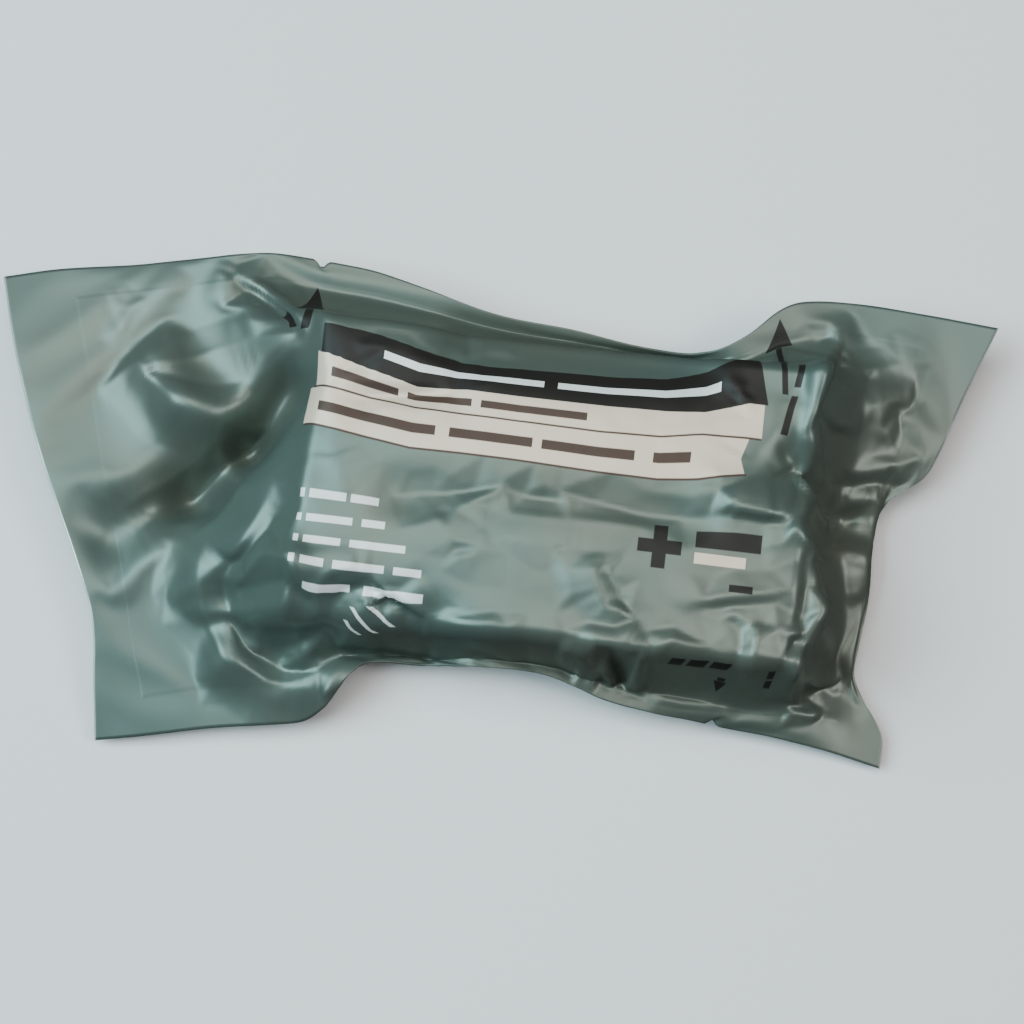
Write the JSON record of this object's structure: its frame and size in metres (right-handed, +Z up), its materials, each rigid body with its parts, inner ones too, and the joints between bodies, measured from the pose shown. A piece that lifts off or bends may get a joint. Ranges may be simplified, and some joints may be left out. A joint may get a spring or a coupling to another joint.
{
  "type": "vacuum-packed emergency trauma bandage",
  "caption": "Trauma bandage vacuum-packed in a crumpled laminate pouch, its sealed border flared wide at both ends.",
  "frame": {"origin": "on the surface that the pouch lies on, under the middle of its outline", "axes": "+X along the pouch to its narrower flap, +Y across it to the edge that the title stands nearest, +Z up"},
  "size_m": [0.2122, 0.1082, 0.0356],
  "materials": {
    "printed_film": "satin laminate, grey green, with black and cream printed panels",
    "plain_film": "satin laminate, grey green",
    "bandage_cloth": "woven, undyed"
  },
  "bodies": {
    "root": {"front_film": "printed_film", "back_film": "plain_film", "folded_bandage": "bandage_cloth"}
  },
  "joints": []
}
